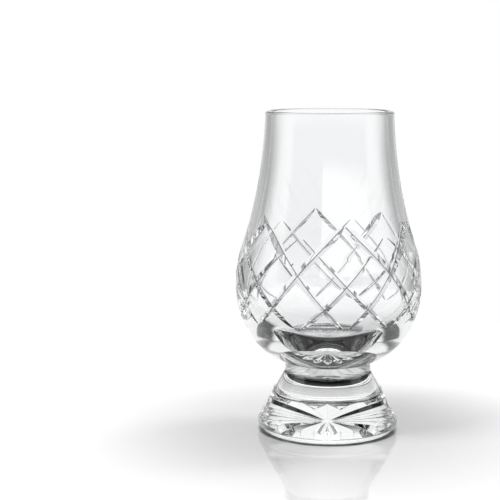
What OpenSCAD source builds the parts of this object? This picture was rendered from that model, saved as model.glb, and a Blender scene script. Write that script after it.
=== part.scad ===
// Nosing glass of clear cut crystal: a tulip bowl on a short solid stem and a
// heavy conical foot. The three pieces are joined by hot welds, flat round
// faces that meet face to face. The bowl carries a lattice of wheel-cut V
// grooves, and the foot has a star cut in its hollow underside.
// The origin is the middle of the ring that the glass stands on, with +Z up
// and the front, from which angles round the glass are counted, at -Y.

/* [Bowl outside] */
// Height of the whole glass, from the table to the rim
glass_h = 115; // [112:0.5:122]
// Diameter at the mouth
mouth_d = 45.6; // [42:0.1:50]
// Lean of the wall at the mouth, from upright
mouth_lean = 1.2; // [0:0.1:3]
// Diameter at the widest place of the belly
belly_d = 66.5; // [62:0.1:70]
// Height of the widest place of the belly
belly_z = 53.4; // [52:0.1:55]
// Radius of the outline just above the belly
shoulder_r = 43; // [38:0.5:48]
// Radius of the outline just below the belly
flank_r = 38; // [35:0.5:42]
// Angle through which the outline turns at that radius
flank_turn = 21; // [19:0.5:23]
// Radius of the outline where the bowl turns in to the stem
heel_r = 25; // [24:0.1:27]

/* [Bowl inside] */
// Thickness of the wall at the mouth
mouth_wall = 2.2; // [1.6:0.1:3]
// Thickness of the wall at the belly
belly_wall = 2.9; // [2.4:0.1:4]
// Height of the lowest place of the inside, on the solid bottom
inner_z = 30.5; // [29:0.1:31]
// Radius with which the inner wall turns in to that bottom
inner_turn_r = 21; // [18:0.1:22]

/* [Lattice cut] */
// Number of grooves that run each way round the bowl, long and short in turn
groove_n = 12; // [8:2:14]
// Angle round the bowl that one groove spans
groove_span = 60; // [50:1:66]
// Angle from the front to the first peak of the lattice
lattice_turn = 11; // [0:1:30]
// Angle between the tips of the two grooves that meet at a peak or lower point
tip_gap = 1.2; // [0.8:0.1:3]
// Height of the peaks of the long grooves
long_peak_z = 77; // [74:0.5:80]
// Height of the peaks of the short grooves
short_peak_z = 73.4; // [71:0.1:76]
// Height of the long grooves half way along, where they cross
long_mid_z = 60.6; // [59:0.1:62]
// Height of the short grooves half way along, where they cross
short_mid_z = 57; // [55.5:0.1:58.5]
// Height of the lower points of all the grooves
lattice_low_z = 41.5; // [40.5:0.1:44]
// Depth of the long grooves at their peaks
long_peak_depth = 0.45; // [0.3:0.05:0.6]
// Depth of the short grooves at their peaks
short_peak_depth = 0.15; // [0.1:0.05:0.3]
// Depth of a groove half way along
groove_depth = 0.95; // [0.6:0.05:1.2]
// Angle between the two faces of a groove
groove_angle = 112; // [90:1:125]

/* [Stem] */
// Diameter of the waist, where the bowl meets the stem
waist_d = 30.8; // [28:0.1:33]
// Height of the upright stretch below that weld
waist_h = 1.8; // [0.8:0.1:3]
// Radius of the hollow turn from there to the slope of the stem
waist_turn_r = 5; // [3:0.1:7]
// Diameter of the lower end of the stem
stem_base_d = 38.4; // [36:0.1:39]

/* [Foot] */
// Height of the foot, up to its weld with the stem
foot_h = 15; // [13:0.1:17]
// Diameter of the top of the foot
foot_top_d = 39; // [38.4:0.1:41]
// Largest diameter of the foot
foot_d = 50.4; // [48:0.1:53]
// Radius of the rounded edge of the foot
foot_edge_r = 3.2; // [2.5:0.1:4]
// Width of the flat ring that the glass stands on
ring_w = 0.8; // [0.5:0.1:1.5]
// Depth of the hollow underside at its middle
dish_depth = 0.4; // [0.3:0.1:1]

/* [Star cut] */
// Number of rays in the star
ray_n = 24; // [12:4:24]
// Distance from the middle at which the rays begin
ray_start = 0.8; // [0.5:0.1:2]
// Distance from the middle at which the rays are deepest
ray_deep = 14.4; // [13:0.1:16]
// Distance from the middle at which they come out more steeply
ray_rise = 18.4; // [17:0.1:19]
// Distance from the middle at which the rays end
ray_end = 20.4; // [19.6:0.1:20.8]
// Depth of a ray where it is deepest
ray_depth = 1.5; // [1.2:0.1:1.8]
// Depth of a ray where it comes out more steeply
ray_rise_depth = 0.85; // [0.6:0.05:0.9]
// Angle between the two faces of a ray
ray_angle = 98; // [80:1:98]

/* [Hidden] */
$fn = 144;

// Height to which a cutter stands proud of the glass, and the angle that a
// groove's cutter turns on past the groove's lower point
overrun = 2;
run_out_turn = 3;

// Each round stretch of an outline stands this little over the next one, so
// that the two cross cleanly and leave no ledge
blend = 0.01;

mouth_r = mouth_d / 2;
belly_r = belly_d / 2;
waist_r = waist_d / 2;
stem_base_r = stem_base_d / 2;
foot_top_r = foot_top_d / 2;
foot_r = foot_d / 2;

function square_of(a) = a * a;

// The other side of a right-angled triangle
function side(long, short) = sqrt(square_of(long) - square_of(short));

// A bell is the bowl's upper wall, or its inner face: a round shoulder that is
// upright at the belly, and a hollow flare that touches it and leans at the
// mouth. Radius and middle of the flare, and the height at which they touch
bell_h = glass_h - belly_z;
function flare_r(mouth, belly, shoulder) =
    let (reach = mouth - belly + shoulder)
    (square_of(reach) + square_of(bell_h) - square_of(shoulder))
    / (2 * (shoulder - reach * cos(mouth_lean) - bell_h * sin(mouth_lean)));
function flare_middle(mouth, r) =
    [mouth + r * cos(mouth_lean), glass_h + r * sin(mouth_lean)];
function touch_z(flare, middle, shoulder) =
    belly_z + (middle.y - belly_z) * shoulder / (flare + shoulder);

// The bowl's outside
outer_flare_r = flare_r(mouth_r, belly_r, shoulder_r);
outer_flare = flare_middle(mouth_r, outer_flare_r);
outer_touch_z = touch_z(outer_flare_r, outer_flare, shoulder_r);
flank = [belly_r - flank_r, belly_z];
heel = flank + (flank_r - heel_r) * [cos(flank_turn), -sin(flank_turn)];
flank_low_z = belly_z - flank_r * sin(flank_turn);

// Height of the weld between the bowl and the stem, where the heel of the
// bowl has come in to the waist
weld_z = heel.y - side(heel_r + blend, waist_r - heel.x);

// The bowl's inside, down to a bottom that is part of a large sphere
inner_mouth_r = mouth_r - mouth_wall;
inner_belly_r = belly_r - belly_wall;
inner_shoulder_r = shoulder_r - belly_wall;
inner_h = belly_z - inner_z;
inner_turn = [inner_belly_r - inner_turn_r, belly_z];
inner_bottom_r =
    (square_of(inner_belly_r) + square_of(inner_h) - 2 * inner_belly_r * inner_turn_r)
    / (2 * (inner_h - inner_turn_r));
inner_bottom_z = inner_z + inner_bottom_r + blend;
inner_touch_z =
    belly_z - (inner_bottom_z - belly_z) * inner_turn_r / (inner_bottom_r - inner_turn_r);

// Radius of the bowl's outside at a height
function bowl_r(z) =
    z > outer_touch_z ? outer_flare.x - side(outer_flare_r, outer_flare.y - z)
    : z > belly_z ? belly_r - shoulder_r + side(shoulder_r, z - belly_z)
    : z > flank_low_z ? flank.x + side(flank_r, flank.y - z)
    : heel.x + side(heel_r, heel.y - z);

module disc_at(middle, r) {
    translate(middle) circle(r);
}

// A square-cornered patch between two opposite corners
module patch(low, high) {
    translate(low) square(high - low);
}

// The part of a disc between two heights, right of the axis
module disc_slice(middle, r, low_z, high_z) {
    intersection() {
        disc_at(middle, r);
        patch([0, low_z], [middle.x + r + overrun, high_z]);
    }
}

// Half of the section of a bell
module bell(mouth, belly, shoulder) {
    flare = flare_r(mouth, belly, shoulder);
    middle = flare_middle(mouth, flare);
    touch = touch_z(flare, middle, shoulder);
    difference() {
        patch([0, touch], [belly, glass_h]);
        disc_at(middle, flare + blend);
    }
    disc_slice([belly - shoulder, belly_z], shoulder, belly_z, touch + shoulder / 4);
}

module bowl_outside() {
    bell(mouth_r, belly_r, shoulder_r);
    disc_slice(flank, flank_r, flank_low_z, belly_z);
    disc_slice(heel, heel_r + blend, weld_z, heel.y);
}

module bowl_inside() {
    bell(inner_mouth_r, inner_belly_r, inner_shoulder_r);
    patch([0, inner_turn.y - inner_turn_r], [inner_turn.x, belly_z]);
    disc_slice(inner_turn, inner_turn_r, inner_turn.y - inner_turn_r, belly_z);
    disc_slice([0, inner_bottom_z], inner_bottom_r, inner_z, inner_touch_z);
}

// The rim is melted round over the full thickness of the wall, in a bead that
// sits on the middle of the leaning wall
module bowl_section() {
    rim_r = mouth_wall / 2 + blend;
    rim = [mouth_r - mouth_wall / 2 + rim_r * tan(mouth_lean), glass_h - rim_r];
    difference() {
        bowl_outside();
        bowl_inside();
        patch([0, rim.y], [belly_r, glass_h + overrun]);
    }
    disc_at(rim, rim_r);
}

// A point on a circle round the axis
function around(r, turn, z) = [r * sin(turn), -r * cos(turn), z];

// Middle of the circle through the origin and two more points
function circle_middle(a, b) =
    let (n = cross(a, b))
    cross((a * a) * b - (b * b) * a, n) / (2 * (n * n));

// The cutting wheel's tip follows a circle through three points: it is set into
// the glass at the peak, is deepest half way along and leaves at the lower
// point. What it cuts away is a stretch of a ring with a V section. way is 1
// for a groove that falls to the right and -1 for one that falls to the left.
module groove(peak_z, mid_z, peak_depth, peak_turn, way) {
    enter = around(bowl_r(peak_z) - peak_depth, peak_turn + way * tip_gap / 2, peak_z);
    deep = around(bowl_r(mid_z) - groove_depth, peak_turn + way * groove_span / 2, mid_z);
    leave = around(
        bowl_r(lattice_low_z),
        peak_turn + way * (groove_span - tip_gap / 2),
        lattice_low_z
    );
    n = cross(enter - deep, leave - deep);
    to_middle = circle_middle(enter - deep, leave - deep);
    r = norm(to_middle);
    x = -to_middle / r;
    z = n / norm(n);
    y = cross(z, x);
    middle = deep + to_middle;
    enter_swing = 2 * asin(norm(enter - deep) / 2 / r);
    leave_swing = 2 * asin(norm(leave - deep) / 2 / r) + run_out_turn;
    tall = groove_depth + overrun;
    half_w = tall * tan(groove_angle / 2);
    multmatrix([
        [x.x, y.x, z.x, middle.x],
        [x.y, y.y, z.y, middle.y],
        [x.z, y.z, z.z, middle.z]
    ])
        rotate([0, 0, -leave_swing]) rotate_extrude(angle = leave_swing + enter_swing)
            polygon([[r, 0], [r + tall, half_w], [r + tall, -half_w]]);
}

// All grooves that run one way, with long and short ones in turn
module grooves(way) {
    for (i = [0:groove_n - 1]) {
        long = i % 2 == 0;
        groove(
            long ? long_peak_z : short_peak_z,
            long ? long_mid_z : short_mid_z,
            long ? long_peak_depth : short_peak_depth,
            lattice_turn + i * 360 / groove_n,
            way
        );
    }
}

module bowl() {
    color("aliceblue") difference() {
        difference() {
            rotate_extrude() bowl_section();
            grooves(1);
        }
        grooves(-1);
    }
}

// Angle from upright of a slope that starts at a point and touches a circle,
// given the step down from the upper of the point and the circle's middle
function slope_lean(step, r) = asin(r / norm(step)) + atan2(step.x, -step.y);

module stem() {
    turn = [waist_r + waist_turn_r, weld_z - waist_h];
    lean = slope_lean([stem_base_r, foot_h] - turn, waist_turn_r);
    color("aliceblue") rotate_extrude() difference() {
        polygon([
            [0, foot_h],
            [stem_base_r, foot_h],
            turn - waist_turn_r * [cos(lean), sin(lean)],
            [waist_r, turn.y],
            [waist_r, weld_z],
            [0, weld_z]
        ]);
        disc_at(turn, waist_turn_r);
    }
}

// Radius of the hollow underside's edge, and height of the underside at a
// distance from the axis
dish_edge_r = foot_r - foot_edge_r - ring_w;
dish_r = (square_of(dish_edge_r) + square_of(dish_depth)) / (2 * dish_depth);
function dish_z(x) = dish_depth - dish_r + side(dish_r, x);

module foot_section() {
    edge = [foot_r - foot_edge_r, foot_edge_r];
    lean = slope_lean(edge - [foot_top_r, foot_h], foot_edge_r);
    difference() {
        union() {
            disc_at(edge, foot_edge_r);
            polygon([
                [0, 0],
                [edge.x, 0],
                edge,
                edge + foot_edge_r * [cos(lean), sin(lean)],
                [foot_top_r, foot_h],
                [0, foot_h]
            ]);
        }
        disc_at([0, dish_depth - dish_r], dish_r);
    }
}

// A roof-shaped cutter under the glass. Its ridge runs from one point of the
// section plane towards another and on past both.
module roof(from, to) {
    along = to - from;
    tall = ray_depth + dish_depth + overrun;
    half_w = tall * tan(ray_angle / 2);
    translate([from.x, 0, from.y]) rotate([0, 90 - atan2(along.y, along.x), 0])
        translate([0, 0, -ray_end]) linear_extrude(3 * ray_end)
            polygon([[0, 0], [tall, half_w], [tall, -half_w]]);
}

// One ray of the star, pointed at both ends: one roof takes it in to its full
// depth, the next brings it out again and a steeper one takes over at the end
module ray() {
    start = [ray_start, dish_z(ray_start)];
    deep = [ray_deep, dish_z(ray_deep) + ray_depth];
    rise = [ray_rise, dish_z(ray_rise) + ray_rise_depth];
    end = [ray_end, dish_z(ray_end)];
    intersection() {
        roof(start, deep);
        roof(deep, rise);
        roof(rise, end);
    }
}

module foot() {
    color("aliceblue") difference() {
        rotate_extrude() foot_section();
        for (i = [0:ray_n - 1]) rotate([0, 0, i * 360 / ray_n - 90]) ray();
    }
}

bowl();
stem();
foot();
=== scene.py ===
from math import acos, asin, atan2, cos, hypot, pi, radians, sin, sqrt, tan

import bmesh
import bpy
import numpy as np
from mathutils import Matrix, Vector


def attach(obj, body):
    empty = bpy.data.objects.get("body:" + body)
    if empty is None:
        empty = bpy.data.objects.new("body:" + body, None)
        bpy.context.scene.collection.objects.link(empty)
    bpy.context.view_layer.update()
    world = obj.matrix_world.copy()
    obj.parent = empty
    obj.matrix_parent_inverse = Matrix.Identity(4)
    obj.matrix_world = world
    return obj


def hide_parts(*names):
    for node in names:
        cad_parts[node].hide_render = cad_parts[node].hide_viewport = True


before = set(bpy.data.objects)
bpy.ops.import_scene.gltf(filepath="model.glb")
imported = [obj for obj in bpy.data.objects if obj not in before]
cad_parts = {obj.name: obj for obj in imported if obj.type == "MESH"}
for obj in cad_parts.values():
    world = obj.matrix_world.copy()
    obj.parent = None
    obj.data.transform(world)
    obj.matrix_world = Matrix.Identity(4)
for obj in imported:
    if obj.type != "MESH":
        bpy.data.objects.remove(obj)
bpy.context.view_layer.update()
scene = bpy.context.scene
mm = 0.001


# Bowl. Clear crystal, blown in a mould and opened to a tulip: a hollow flare
# leans at the mouth and runs into a round shoulder, which is upright at the
# belly. The flank and the heel turn the wall in to where the stem is welded on.
glass_h = 115 * mm
mouth_r = 22.8 * mm
mouth_lean = radians(1.2)
mouth_wall = 2.2 * mm
belly_r = 33.25 * mm
belly_z = 53.4 * mm
belly_wall = 2.9 * mm
shoulder_r = 43 * mm
flank_r = 38 * mm
flank_turn = radians(21)
heel_r = 25 * mm
waist_r = 15.4 * mm
well_z = 30.5 * mm
well_turn_r = 21 * mm

clear_tint = (0.985, 0.992, 0.995)
# Painted shade: the valleys of the cuts are tinted dark
valley_painted_shade = (0.08, 0.09, 0.1)
refraction = 1.545

round_parts = 336
wall_step = 1 * mm
turn_step = 0.8 * mm
edge_step = 0.2 * mm
same_place = 0.01 * mm


def crystal_polish():
    """Node group: the faint ripple and haze that a fire-polished or cut face keeps."""
    group = bpy.data.node_groups.new("crystal_polish", "ShaderNodeTree")
    for name in ("Ripple Scale", "Ripple Height", "Haze"):
        group.interface.new_socket(name, in_out="INPUT", socket_type="NodeSocketFloat")
    group.interface.new_socket("Roughness", in_out="OUTPUT", socket_type="NodeSocketFloat")
    group.interface.new_socket("Normal", in_out="OUTPUT", socket_type="NodeSocketVector")
    given = group.nodes.new("NodeGroupInput")
    place = group.nodes.new("ShaderNodeTexCoord")
    ripple = group.nodes.new("ShaderNodeTexNoise")
    ripple.inputs["Detail"].default_value = 1
    lift = group.nodes.new("ShaderNodeMath")
    lift.operation = "MULTIPLY"
    bump = group.nodes.new("ShaderNodeBump")
    bump.inputs["Strength"].default_value = 1
    bump.inputs["Distance"].default_value = 1
    wiped = group.nodes.new("ShaderNodeTexNoise")
    wiped.inputs["Scale"].default_value = 140
    haze = group.nodes.new("ShaderNodeMath")
    haze.operation = "MULTIPLY"
    made = group.nodes.new("NodeGroupOutput")
    link = group.links.new
    link(place.outputs["Object"], ripple.inputs["Vector"])
    link(given.outputs["Ripple Scale"], ripple.inputs["Scale"])
    link(ripple.outputs["Fac"], lift.inputs[0])
    link(given.outputs["Ripple Height"], lift.inputs[1])
    link(lift.outputs[0], bump.inputs["Height"])
    link(bump.outputs["Normal"], made.inputs["Normal"])
    link(place.outputs["Object"], wiped.inputs["Vector"])
    link(wiped.outputs["Fac"], haze.inputs[0])
    link(given.outputs["Haze"], haze.inputs[1])
    link(haze.outputs[0], made.inputs["Roughness"])
    return group


polish = crystal_polish()


def crystal(name, ripple_scale, ripple_height, haze, tint=clear_tint):
    """Clear crystal. How it was finished shows in its ripple and its haze."""
    made = bpy.data.materials.new(name)
    made.use_nodes = True
    tree = made.node_tree
    glass = tree.nodes["Principled BSDF"]
    glass.inputs["Base Color"].default_value = (*tint, 1)
    glass.inputs["Transmission Weight"].default_value = 1
    glass.inputs["IOR"].default_value = refraction
    finish = tree.nodes.new("ShaderNodeGroup")
    finish.node_tree = polish
    finish.inputs["Ripple Scale"].default_value = ripple_scale
    finish.inputs["Ripple Height"].default_value = ripple_height
    finish.inputs["Haze"].default_value = haze
    tree.links.new(finish.outputs["Roughness"], glass.inputs["Roughness"])
    tree.links.new(finish.outputs["Normal"], glass.inputs["Normal"])
    return made


def unseen_weld():
    """Where two pieces have fused there is no surface left to see."""
    made = bpy.data.materials.new("fused_weld")
    made.use_nodes = True
    made.node_tree.nodes["Principled BSDF"].inputs["Alpha"].default_value = 0
    return made


cut_crystal = crystal("cut_crystal", 300, 0.003 * mm, 0.01)
# Ground valleys of the cuts, hazy, and tinted dark as painted shade
valley_crystal_painted_dark = crystal("valley_crystal_painted_dark", 900, 0.02 * mm, 0.3, valley_painted_shade)
weld = unseen_weld()
skin_slot, cut_slot, weld_slot, valley_slot = range(4)


def arc(middle, r, start, end, step, side=1):
    """Points of a section along an arc, as (radius, height, normal's radius, normal's
    height). Angles count upwards from straight out, and side is -1 round a hollow."""
    count = max(2, round(abs(end - start) * r / step))
    turns = np.linspace(start, end, count + 1)
    return [
        (middle[0] + r * cos(a), middle[1] + r * sin(a), side * cos(a), side * sin(a))
        for a in turns
    ]


def bell(mouth, belly, shoulder, side):
    """A bell's outline, from the belly up to the melted rim."""
    rise = glass_h - belly_z
    reach = mouth - belly + shoulder
    flare = (reach**2 + rise**2 - shoulder**2) / (
        2 * (shoulder - reach * cos(mouth_lean) - rise * sin(mouth_lean))
    )
    middle = (mouth + flare * cos(mouth_lean), glass_h + flare * sin(mouth_lean))
    turn = asin((middle[1] - belly_z) / (flare + shoulder))
    top = asin((middle[1] - glass_h + mouth_wall / 2) / flare)
    return (
        arc((belly - shoulder, belly_z), shoulder, 0, turn, wall_step, side)
        + arc(middle, flare, pi + turn, pi + top, wall_step, -side)
    )


def keep_normals(mesh, normals):
    """Stores the true normal of every face corner, where a cut leaves it as it is."""
    held = mesh.attributes.new("true_normal", "FLOAT_VECTOR", "CORNER")
    held.data.foreach_set("vector", np.array(normals, np.float32).ravel())


def lathe(name, section, skin):
    """A closed mesh turned from a section that starts and ends on the axis. Where two
    of the section's points fall together, the turned form has a sharp edge."""
    turns = [2 * pi * i / round_parts for i in range(round_parts + 1)]
    verts = [(0, 0, section[0][1])]
    rings = []
    for before, point in zip(section, section[1:-1]):
        r, z = point[:2]
        if hypot(r - before[0], z - before[1]) > same_place:
            rings.append(len(verts))
            verts += [(r * sin(a), -r * cos(a), z) for a in turns[:-1]]
        else:
            rings.append(rings[-1])
    top = len(verts)
    verts.append((0, 0, section[-1][1]))

    def lean(k, i):
        out, up = section[k][2:]
        return (out * sin(turns[i]), -out * cos(turns[i]), up)

    faces, normals = [], []
    for i in range(round_parts):
        j = i + 1
        after = j % round_parts
        faces.append((0, rings[0] + i, rings[0] + after))
        normals += [(0, 0, section[0][3]), lean(1, i), lean(1, j)]
        for k in range(1, len(section) - 2):
            low, high = rings[k - 1], rings[k]
            if low == high:
                continue
            faces.append((low + i, high + i, high + after, low + after))
            normals += [lean(k, i), lean(k + 1, i), lean(k + 1, j), lean(k, j)]
        faces.append((rings[-1] + i, top, rings[-1] + after))
        normals += [lean(len(section) - 2, i), (0, 0, section[-1][3]), lean(len(section) - 2, j)]
    mesh = bpy.data.meshes.new(name)
    mesh.from_pydata(verts, [], faces)
    for material in (skin, cut_crystal, weld, valley_crystal_painted_dark):
        mesh.materials.append(material)
    keep_normals(mesh, normals)
    return mesh


heel = (
    belly_r - flank_r + (flank_r - heel_r) * cos(flank_turn),
    belly_z - (flank_r - heel_r) * sin(flank_turn),
)
heel_turn = acos((waist_r - heel[0]) / heel_r)
weld_z = heel[1] - heel_r * sin(heel_turn)

outside = bell(mouth_r, belly_r, shoulder_r, 1)[::-1]
outside += arc((belly_r - flank_r, belly_z), flank_r, 0, -flank_turn, wall_step)
outside += arc(heel, heel_r, -flank_turn, -heel_turn, turn_step)

inner_r = belly_r - belly_wall
well_h = belly_z - well_z
well_floor_r = (inner_r**2 + well_h**2 - 2 * inner_r * well_turn_r) / (2 * (well_h - well_turn_r))
well_turn = atan2(well_z + well_floor_r - belly_z, inner_r - well_turn_r)

inside = arc((0, well_z + well_floor_r), well_floor_r, -pi / 2, -well_turn, wall_step, -1)
inside += arc((inner_r - well_turn_r, belly_z), well_turn_r, -well_turn, 0, turn_step, -1)
inside += bell(mouth_r - mouth_wall, inner_r, shoulder_r - belly_wall, -1)

rim_in, rim_out = inside[-1][0], outside[0][0]
rim_middle = ((rim_in + rim_out) / 2, glass_h - mouth_wall / 2)
rim = arc(rim_middle, (rim_out - rim_in) / 2, pi, 0, edge_step)

weld_disc = [(waist_r, weld_z, 0, -1), (0, weld_z, 0, -1)]
blown_crystal = crystal("blown_crystal", 45, 0.02 * mm, 0.006)
bowl_mesh = lathe("bowl_blank", inside + rim + outside + weld_disc, blown_crystal)


# Lattice on the bowl. Long and short V grooves in turn, cut by a wheel that
# dips into the glass at a peak and leaves it at the lower point, once falling
# to the right and once to the left, and polished afterwards.
groove_n = 12
groove_span = radians(60)
lattice_turn = radians(11)
tip_gap = radians(0.4)
lattice_low_z = 41.5 * mm
long_groove = {
    "peak_z": 77 * mm,
    "mid_z": 60.6 * mm,
    "depths": (1.1 * mm, 0.85 * mm, 0.75 * mm),
    "entry_share": 0.16,
}
short_groove = {
    "peak_z": 73.4 * mm,
    "mid_z": 57 * mm,
    "depths": (0.78 * mm, 0.78 * mm, 0.75 * mm),
    "entry_share": 0.6,
}
depth_shares = (0.15, 0.5, 0.8)
exit_share = 0.25
groove_half_angle = radians(56)
valley_r = 0.3 * mm
valley_bends = 4

wheel_proud = 0.6 * mm
wheel_steps = 96
run_in_share = 0.08
run_out_share = 0.06
band_low = 30 * mm
band_high = 90 * mm
band_steps = 1200

band = np.linspace(band_low, band_high, band_steps + 1)
rising = np.array(outside[::-1]).T
band_wall = [np.interp(band, rising[1], column) for column in rising]


def around_axis(r, turn, z):
    """A place, or a direction, at an angle round the axis from the front."""
    return np.array((r * np.sin(turn), -r * np.cos(turn), z))


def wheel_line(groove, peak_turn, way):
    """Where the wheel runs over the bowl, in the plane through the groove's peak, middle
    and lower point: places on the outside, its normals there, and how deep the wheel
    stands in the glass, less than nothing past the groove's ends."""
    wall_r, wall_z = band_wall[:2]

    def turn_at(share):
        return peak_turn + way * (tip_gap / 2 + share * (groove_span - tip_gap))

    marks = [
        around_axis(np.interp(level, wall_z, wall_r), turn_at(share), level)
        for level, share in ((groove["peak_z"], 0), (groove["mid_z"], 0.5), (lattice_low_z, 1))
    ]
    across = np.cross(marks[1] - marks[0], marks[2] - marks[0])
    run = np.linspace(-run_in_share, 1 + run_out_share, wheel_steps + 1)
    line, normals = [], []
    for turn in turn_at(run):
        off = (around_axis(wall_r, turn, wall_z) - marks[0][:, None]).T @ across
        k = int(np.argmin(abs(off)))
        low, high = (k - 1, k) if off[k - 1] * off[k] <= 0 else (k, k + 1)
        between = off[low] / (off[low] - off[high])
        r, z, out, up = [c[low] + between * (c[high] - c[low]) for c in band_wall]
        line.append(around_axis(r, turn, z))
        normals.append(around_axis(out, turn, up))
    depth = np.interp(run, depth_shares, groove["depths"])
    depth *= 1 - (1 - np.minimum(run / groove["entry_share"], 1)) ** 2
    depth *= 1 - (1 - np.minimum((1 - run) / exit_share, 1)) ** 2
    return np.array(line), np.array(normals), depth


def wheel_cut(line, out, depth, half_angle, valley, proud):
    """Corners, faces, wanted normals and material slots of what a V wheel cuts away along
    a line. Its edge is a little rounded, and its valley gets a painted dark shade."""
    bends = np.linspace(half_angle - pi / 2, pi / 2 - half_angle, valley_bends + 1)
    root = valley / sin(half_angle)
    section = [(valley * sin(b), root - valley * cos(b), cos(b), sin(b)) for b in bends]
    tall = max(depth) + proud
    wide = tall * tan(half_angle)
    run_x, run_rise = section[-1][2:]
    section = [(-wide, tall, run_x, -run_rise)] + section + [(wide, tall, run_x, run_rise)]

    along = np.gradient(line, axis=0)
    side = np.cross(along, out)
    side /= np.linalg.norm(side, axis=1)[:, None]
    corners, normals = [], []
    for x, rise, run_x, run_rise in section:
        edge = line + side * x + out * (rise - depth)[:, None]
        face_out = np.cross(side * run_x + out * run_rise, np.gradient(edge, axis=0))
        corners.append(edge)
        normals.append(face_out / np.linalg.norm(face_out, axis=1)[:, None])
    n, m = len(section), len(line)
    corners = np.array(corners).transpose(1, 0, 2).reshape(-1, 3)
    normals = np.array(normals).transpose(1, 0, 2)
    faces, held, slots = [], [], []
    for i in range(m - 1):
        for k in range(n):
            j = (k + 1) % n
            faces.append((i * n + k, (i + 1) * n + k, (i + 1) * n + j, i * n + j))
            slots.append(valley_slot if 0 < k < n - 2 else cut_slot)
            if j:
                held += [normals[i, k], normals[i + 1, k], normals[i + 1, j], normals[i, j]]
            else:
                held += [out[i]] * 4
    faces += [tuple(range(n)), tuple(range(m * n - 1, (m - 1) * n - 1, -1))]
    slots += [cut_slot] * 2
    for end in (along[0], along[-1]):
        held += [end / np.linalg.norm(end)] * n
    return [tuple(c) for c in corners], faces, held, slots


def cutter(name, cuts):
    """One mesh of several cuts, each as wheel_cut gives it."""
    corners, faces, normals, slots = [], [], [], []
    for cut_corners, cut_faces, cut_normals, cut_slots in cuts:
        faces += [tuple(c + len(corners) for c in face) for face in cut_faces]
        corners += cut_corners
        normals += cut_normals
        slots += cut_slots
    mesh = bpy.data.meshes.new(name)
    mesh.from_pydata(corners, [], faces)
    mesh.polygons.foreach_set("material_index", slots)
    keep_normals(mesh, normals)
    return mesh


def cut_away(mesh, cutter_mesh):
    """The mesh less the cutter."""
    objects = [bpy.data.objects.new(m.name, m) for m in (mesh, cutter_mesh)]
    for o in objects:
        scene.collection.objects.link(o)
    cut = objects[0].modifiers.new("cut", "BOOLEAN")
    cut.operation = "DIFFERENCE"
    cut.solver = "MANIFOLD"
    cut.object = objects[1]
    view = bpy.context.evaluated_depsgraph_get()
    made = bpy.data.meshes.new_from_object(objects[0].evaluated_get(view))
    for o in objects:
        bpy.data.objects.remove(o)
    return made


for way in (1, -1):
    cuts = []
    for i in range(groove_n):
        groove = (long_groove, short_groove)[i % 2]
        line, out, depth = wheel_line(groove, lattice_turn + 2 * pi * i / groove_n, way)
        cuts.append(wheel_cut(line, out, depth, groove_half_angle, valley_r, wheel_proud))
    bowl_mesh = cut_away(bowl_mesh, cutter("wheel_paths", cuts))


def settle_normals(mesh):
    """Shades the mesh by the true normals that its corners kept through the cuts."""
    held = mesh.attributes["true_normal"]
    normals = np.zeros(len(mesh.loops) * 3, np.float32)
    held.data.foreach_get("vector", normals)
    mesh.attributes.remove(held)
    normals = normals.reshape(-1, 3)
    normals /= np.linalg.norm(normals, axis=1)[:, None]
    mesh.polygons.foreach_set("use_smooth", [True] * len(mesh.polygons))
    mesh.normals_split_custom_set(normals)


def fuse(mesh, z, r):
    """Gives the weld's material to the faces that lie at a height, within a radius."""
    for face in mesh.polygons:
        corners = [mesh.vertices[v].co for v in face.vertices]
        if all(abs(c.z - z) < same_place and c.xy.length < r + same_place for c in corners):
            face.material_index = weld_slot


def put_up(name, mesh, stands_for):
    """Shows a finished mesh in place of its CAD node."""
    settle_normals(mesh)
    piece = bpy.data.objects.new(name, mesh)
    scene.collection.objects.link(piece)
    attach(piece, "root")
    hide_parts(stands_for)


fuse(bowl_mesh, weld_z, waist_r)
put_up("bowl_glass", bowl_mesh, "bowl")


# Stem. A short solid waist of the same crystal, drawn out hot from the foot and
# welded under the bowl: a hollow turn leads from the upright neck to a cone.
waist_h = 1.8 * mm
waist_turn_r = 5 * mm
stem_base_r = 19.2 * mm
foot_h = 15 * mm
neck_step = 0.3 * mm


def slope_lean(step, r):
    """Angle from upright of a slope that touches a circle of radius r and ends one
    step, across and up, from the circle's middle."""
    return asin(r / hypot(*step)) + atan2(step[0], -step[1])


neck = (waist_r + waist_turn_r, weld_z - waist_h)
stem_lean = slope_lean((stem_base_r - neck[0], foot_h - neck[1]), waist_turn_r)
stem_section = (
    [(0, weld_z, 0, 1), (waist_r, weld_z, 0, 1), (waist_r, weld_z, 1, 0)]
    + arc(neck, waist_turn_r, pi, pi + stem_lean, neck_step, -1)
    + [(stem_base_r, foot_h, cos(stem_lean), sin(stem_lean))]
    + [(stem_base_r, foot_h, 0, -1), (0, foot_h, 0, -1)]
)
drawn_crystal = crystal("drawn_crystal", 70, 0.01 * mm, 0.004)
stem_mesh = lathe("stem_blank", stem_section, drawn_crystal)
fuse(stem_mesh, weld_z, waist_r)
fuse(stem_mesh, foot_h, stem_base_r)
put_up("stem_glass", stem_mesh, "stem")


# Foot. A thick pressed disc with a sloping top and a round edge. It stands on a
# narrow ground ring, and its underside is hollow and cut with a star of V rays.
foot_top_r = 19.5 * mm
foot_r = 25.2 * mm
foot_edge_r = 3.2 * mm
ring_w = 0.8 * mm
dish_depth = 0.4 * mm
dish_step = 0.7 * mm
ray_n = 24
ray_start = 0.8 * mm
ray_knee = 14.4 * mm
ray_end = 20.4 * mm
ray_depth = 1.5 * mm
ray_half_angle = radians(49)
ray_valley_r = 0.15 * mm
ray_proud = 0.5 * mm
ray_run_on = 0.3 * mm
ray_steps = 64
rays_at_once = 3

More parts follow.
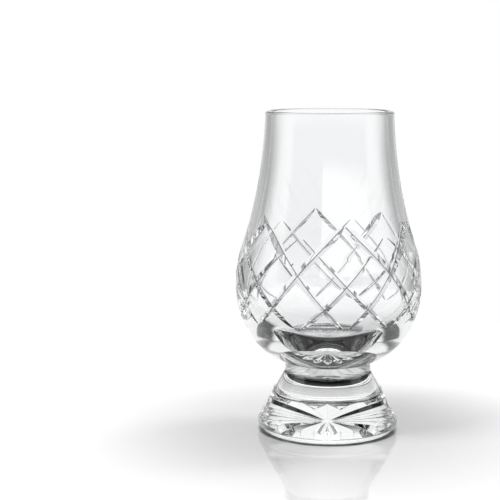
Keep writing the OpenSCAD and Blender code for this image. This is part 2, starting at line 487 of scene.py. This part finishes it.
edge_middle = (foot_r - foot_edge_r, foot_edge_r)
foot_lean = slope_lean((edge_middle[0] - foot_top_r, edge_middle[1] - foot_h), foot_edge_r)
dish_edge_r = foot_r - foot_edge_r - ring_w
dish_r = (dish_edge_r**2 + dish_depth**2) / (2 * dish_depth)
dish_turn = asin(dish_edge_r / dish_r)
foot_section = (
    [(0, foot_h, 0, 1), (stem_base_r, foot_h, 0, 1), (foot_top_r, foot_h, 0, 1)]
    + [(foot_top_r, foot_h, cos(foot_lean), sin(foot_lean))]
    + arc(edge_middle, foot_edge_r, foot_lean, -pi / 2, edge_step)
    + [(dish_edge_r, 0, 0, -1)]
    + arc((0, dish_depth - dish_r), dish_r, pi / 2 - dish_turn, pi / 2, dish_step, -1)
)


def dish_z(x):
    """Height of the hollow underside at a distance from the axis."""
    return dish_depth - dish_r + sqrt(dish_r**2 - x**2)


def ray_line(turn):
    """One ray of the star. The wheel is set in from below near the middle, stands
    deepest at the knee, and runs out towards the ring."""
    reach = np.linspace(ray_start - ray_run_on, ray_end + ray_run_on, ray_steps + 1)
    going_in = (reach - ray_start) / (ray_knee - ray_start)
    coming_out = 1 - (np.maximum(reach - ray_knee, 0) / (ray_end - ray_knee)) ** 2
    depth = ray_depth * np.minimum(going_in, coming_out)
    line = around_axis(reach, turn, np.array([dish_z(x) for x in reach])).T
    return line, np.array([(0.0, 0.0, -1.0)] * len(reach)), depth


pressed_crystal = crystal("pressed_crystal", 90, 0.01 * mm, 0.006)
foot_mesh = lathe("foot_blank", foot_section, pressed_crystal)
# Neighbours cross near the middle, so rays that lie far apart are cut together
for i in range(ray_n // rays_at_once):
    cuts = []
    for k in range(rays_at_once):
        line, out, depth = ray_line(2 * pi * (i / ray_n + k / rays_at_once))
        cuts.append(wheel_cut(line, out, depth, ray_half_angle, ray_valley_r, ray_proud))
    foot_mesh = cut_away(foot_mesh, cutter("rays", cuts))
fuse(foot_mesh, foot_h, stem_base_r)
put_up("foot_glass", foot_mesh, "foot")


# Floor. One pale polished sheet that mirrors the foot. It has a painted glow under the
# middle of the foot, in place of the light the glass gathers, a painted shadow in a ring
# under the foot's edge, and it runs out from a soft grey to plain white.
floor_r = 220 * mm
floor_sides = 96
fade_r = 110 * mm
# Distances from the axis, each with the sheet's colour or glow there
# The dark ring from 19.5 to 24.5 mm is a painted shadow under the foot's edge
sheet_colour_and_painted_shadow = (
    (0, 0.85),
    (18 * mm, 0.85),
    (19.5 * mm, 0.12),
    (24.5 * mm, 0.12),
    (25.6 * mm, 0.85),
    (30 * mm, 0.85),
    (fade_r, 0.1),
)
# The glow out to 12 mm is painted light under the foot; the glow far out fades the sheet to plain
# white
painted_glow_and_white_fade = ((0, 0.5), (12 * mm, 0.5), (18 * mm, 0), (30 * mm, 0), (fade_r, 0.78))

bm = bmesh.new()
bmesh.ops.create_circle(bm, cap_ends=True, segments=floor_sides, radius=floor_r)
floor_mesh = bpy.data.meshes.new("floor")
bm.to_mesh(floor_mesh)
bm.free()
floor = bpy.data.objects.new("floor", floor_mesh)
scene.collection.objects.link(floor)

floor_skin = bpy.data.materials.new("floor_sheet")
floor_skin.use_nodes = True
floor_mesh.materials.append(floor_skin)
tree = floor_skin.node_tree
sheet = tree.nodes["Principled BSDF"]
sheet.inputs["Roughness"].default_value = 0.03
sheet.inputs["Emission Color"].default_value = (1, 1, 1, 1)
place = tree.nodes.new("ShaderNodeTexCoord")
far = tree.nodes.new("ShaderNodeVectorMath")
far.operation = "LENGTH"
tree.links.new(place.outputs["Object"], far.inputs[0])
far_share = tree.nodes.new("ShaderNodeMath")
far_share.operation = "DIVIDE"
far_share.inputs[1].default_value = fade_r
tree.links.new(far.outputs["Value"], far_share.inputs[0])
for socket, stops in (("Base Color", sheet_colour_and_painted_shadow), ("Emission Strength", painted_glow_and_white_fade)):
    ramp = tree.nodes.new("ShaderNodeValToRGB")
    ramp.color_ramp.interpolation = "EASE"
    spots = ramp.color_ramp.elements
    for r, _ in stops[1:-1]:
        spots.new(r / fade_r)
    for spot, (_, value) in zip(spots, stops):
        spot.color = (value, value, value, 1)
    tree.links.new(far_share.outputs[0], ramp.inputs["Fac"])
    tree.links.new(ramp.outputs["Color"], sheet.inputs[socket])


# Light. The room has a white wall behind the glass, dim side walls with a tall
# window in each, and a dark ceiling with a pale lid. A wide softbox stands in
# front, to the right. Two soft lamps throw the shadows and are not mirrored.
side_ground = 0.42
front_ground_gain = 0.5
dim_wall = 0.08
window_light = 0.8
dark_ceiling = 0.05
lid_light = 0.4
softbox_light = 1.4
room_light = 0.4

room = bpy.data.worlds.new("room")
scene.world = room
room.use_nodes = True
tree = room.node_tree
background = tree.nodes["Background"]
background.inputs["Color"].default_value = (1, 1, 1, 1)


def maths(operation, *values):
    node = tree.nodes.new("ShaderNodeMath")
    node.operation = operation
    for k, v in enumerate(values):
        if isinstance(v, (int, float)):
            node.inputs[k].default_value = v
        else:
            tree.links.new(v, node.inputs[k])
    return node.outputs[0]


def smooth(value, edge, before, after):
    """Runs softly from before to after while the value crosses the edge."""
    node = tree.nodes.new("ShaderNodeMapRange")
    node.interpolation_type = "SMOOTHSTEP"
    tree.links.new(value, node.inputs["Value"])
    for name, v in zip(("From Min", "From Max", "To Min", "To Max"), (*edge, before, after)):
        node.inputs[name].default_value = v
    return node.outputs["Result"]


def panel(value, near_edge, far_edge, light):
    """Light between two soft edges, and none outside them."""
    return maths("MULTIPLY", smooth(value, near_edge, 0, light), smooth(value, far_edge, 1, 0))


def round_room(*degrees):
    """An edge given by where it begins and ends round the room."""
    return [radians(d) for d in degrees]


def over_horizon(*degrees):
    """An edge given by where it begins and ends over the horizon."""
    return [sin(radians(d)) for d in degrees]


split = tree.nodes.new("ShaderNodeSeparateXYZ")
tree.links.new(tree.nodes.new("ShaderNodeTexCoord").outputs["Generated"], split.inputs[0])
x, y, up = split.outputs
from_back = maths("ABSOLUTE", maths("ARCTAN2", x, y))
from_front = maths("ARCTAN2", x, maths("MULTIPLY", y, -1))

ground = maths(
    "ADD",
    smooth(from_back, round_room(5, 24), 1, side_ground),
    smooth(from_back, round_room(60, 80), 0, front_ground_gain),
)
walls = maths(
    "ADD",
    smooth(from_back, round_room(45, 55), 1, dim_wall),
    panel(from_back, round_room(78, 82), round_room(110, 114), window_light),
)
over_ground = smooth(up, over_horizon(-1, 3), 0, 1)
under_ceiling = smooth(up, over_horizon(38, 46), 1, dark_ceiling)
lid = smooth(up, over_horizon(66, 70), 0, lid_light)
softbox = maths(
    "MULTIPLY",
    panel(from_front, round_room(-12, -10), round_room(64, 68), 1),
    panel(up, over_horizon(8, 11), over_horizon(27, 30), softbox_light),
)
around = maths(
    "ADD",
    maths("MULTIPLY", ground, maths("SUBTRACT", 1, over_ground)),
    maths("MULTIPLY", walls, over_ground),
)
seen = maths("ADD", maths("ADD", maths("MULTIPLY", around, under_ceiling), lid), softbox)

# The glass shows the room, matt surfaces get an even light, and the eye sees white
path = tree.nodes.new("ShaderNodeLightPath")
by_glass = maths("MAXIMUM", path.outputs["Is Glossy Ray"], path.outputs["Is Transmission Ray"])
even = maths("MULTIPLY", maths("SUBTRACT", 1, by_glass), room_light)
lit = maths("ADD", maths("MULTIPLY", by_glass, seen), even)
shown = maths("MAXIMUM", lit, path.outputs["Is Camera Ray"])
tree.links.new(shown, background.inputs["Strength"])

aimed_at = Vector((0, 0, 50 * mm))
for name, spot, size, watts in (
    ("key_lamp", (-0.75, -0.55, 1.05), (0.5, 0.35), 8),
    ("fill_lamp", (0.8, 0.5, 1.1), (0.4, 0.4), 6),
):
    lamp = bpy.data.lights.new(name, "AREA")
    lamp.shape = "RECTANGLE"
    lamp.size, lamp.size_y = size
    lamp.energy = watts
    holder = bpy.data.objects.new(name, lamp)
    holder.location = spot
    holder.rotation_euler = (aimed_at - Vector(spot)).to_track_quat("-Z", "Y").to_euler()
    holder.visible_glossy = False
    holder.visible_transmission = False
    scene.collection.objects.link(holder)


# Camera. Half a metre in front of the glass and a little above its rim, looking
# down a little, with the glass right of the middle of the picture.
camera_y = -505.4 * mm
camera_z = 135.7 * mm
looks_down = radians(7.945)
looks_left = radians(3.192)

lens = bpy.data.cameras.new("camera")
lens.sensor_width = 36
lens.lens = 102.51
camera = bpy.data.objects.new("camera", lens)
camera.location = (0, camera_y, camera_z)
camera.rotation_euler = (pi / 2 - looks_down, 0, looks_left)
scene.collection.objects.link(camera)
scene.camera = camera

# Light crosses many faces of cut glass before it gets out
bounces = 24
scene.view_settings.view_transform = "Standard"
scene.cycles.max_bounces = bounces
scene.cycles.glossy_bounces = bounces
scene.cycles.transmission_bounces = bounces
scene.cycles.transparent_max_bounces = 32
